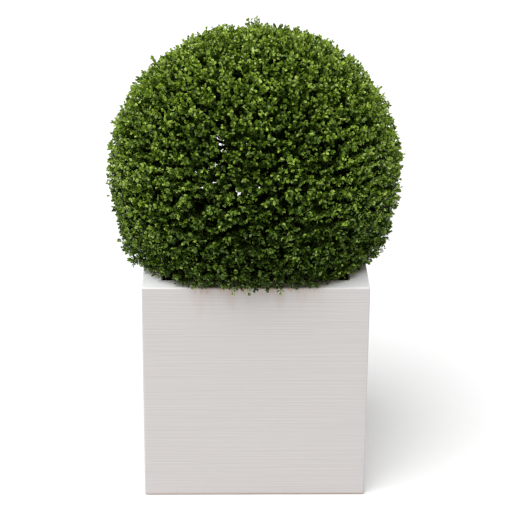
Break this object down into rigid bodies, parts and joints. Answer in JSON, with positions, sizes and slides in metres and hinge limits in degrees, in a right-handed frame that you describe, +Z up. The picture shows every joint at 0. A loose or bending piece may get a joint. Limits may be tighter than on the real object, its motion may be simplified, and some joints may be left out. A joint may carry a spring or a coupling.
{
  "type": "box topiary ball in square planter",
  "caption": "Clipped box topiary ball on a short hidden stem, rooted in soil in a square pale planter with a broad flat lip.",
  "frame": {"origin": "middle of the planter's flat underside, at the level that it stands on", "axes": "+Z up along the stem, -Y towards the front of the planter, +X to the right seen from the front"},
  "size_m": [0.7954, 0.7977, 1.2373],
  "materials": {
    "foliage": "glossy small box leaves, bright at the tips and nearly black between the sprays",
    "bark": "grey brown bark with fine upright cracks",
    "soil": "dark crumbly potting soil",
    "planter": "off-white with fine brushed level grooves and faint soil stains under the rim"
  },
  "bodies": {
    "root": {"foliage_ball": "foliage", "stem": "bark", "soil": "soil", "planter": "planter"}
  },
  "joints": []
}
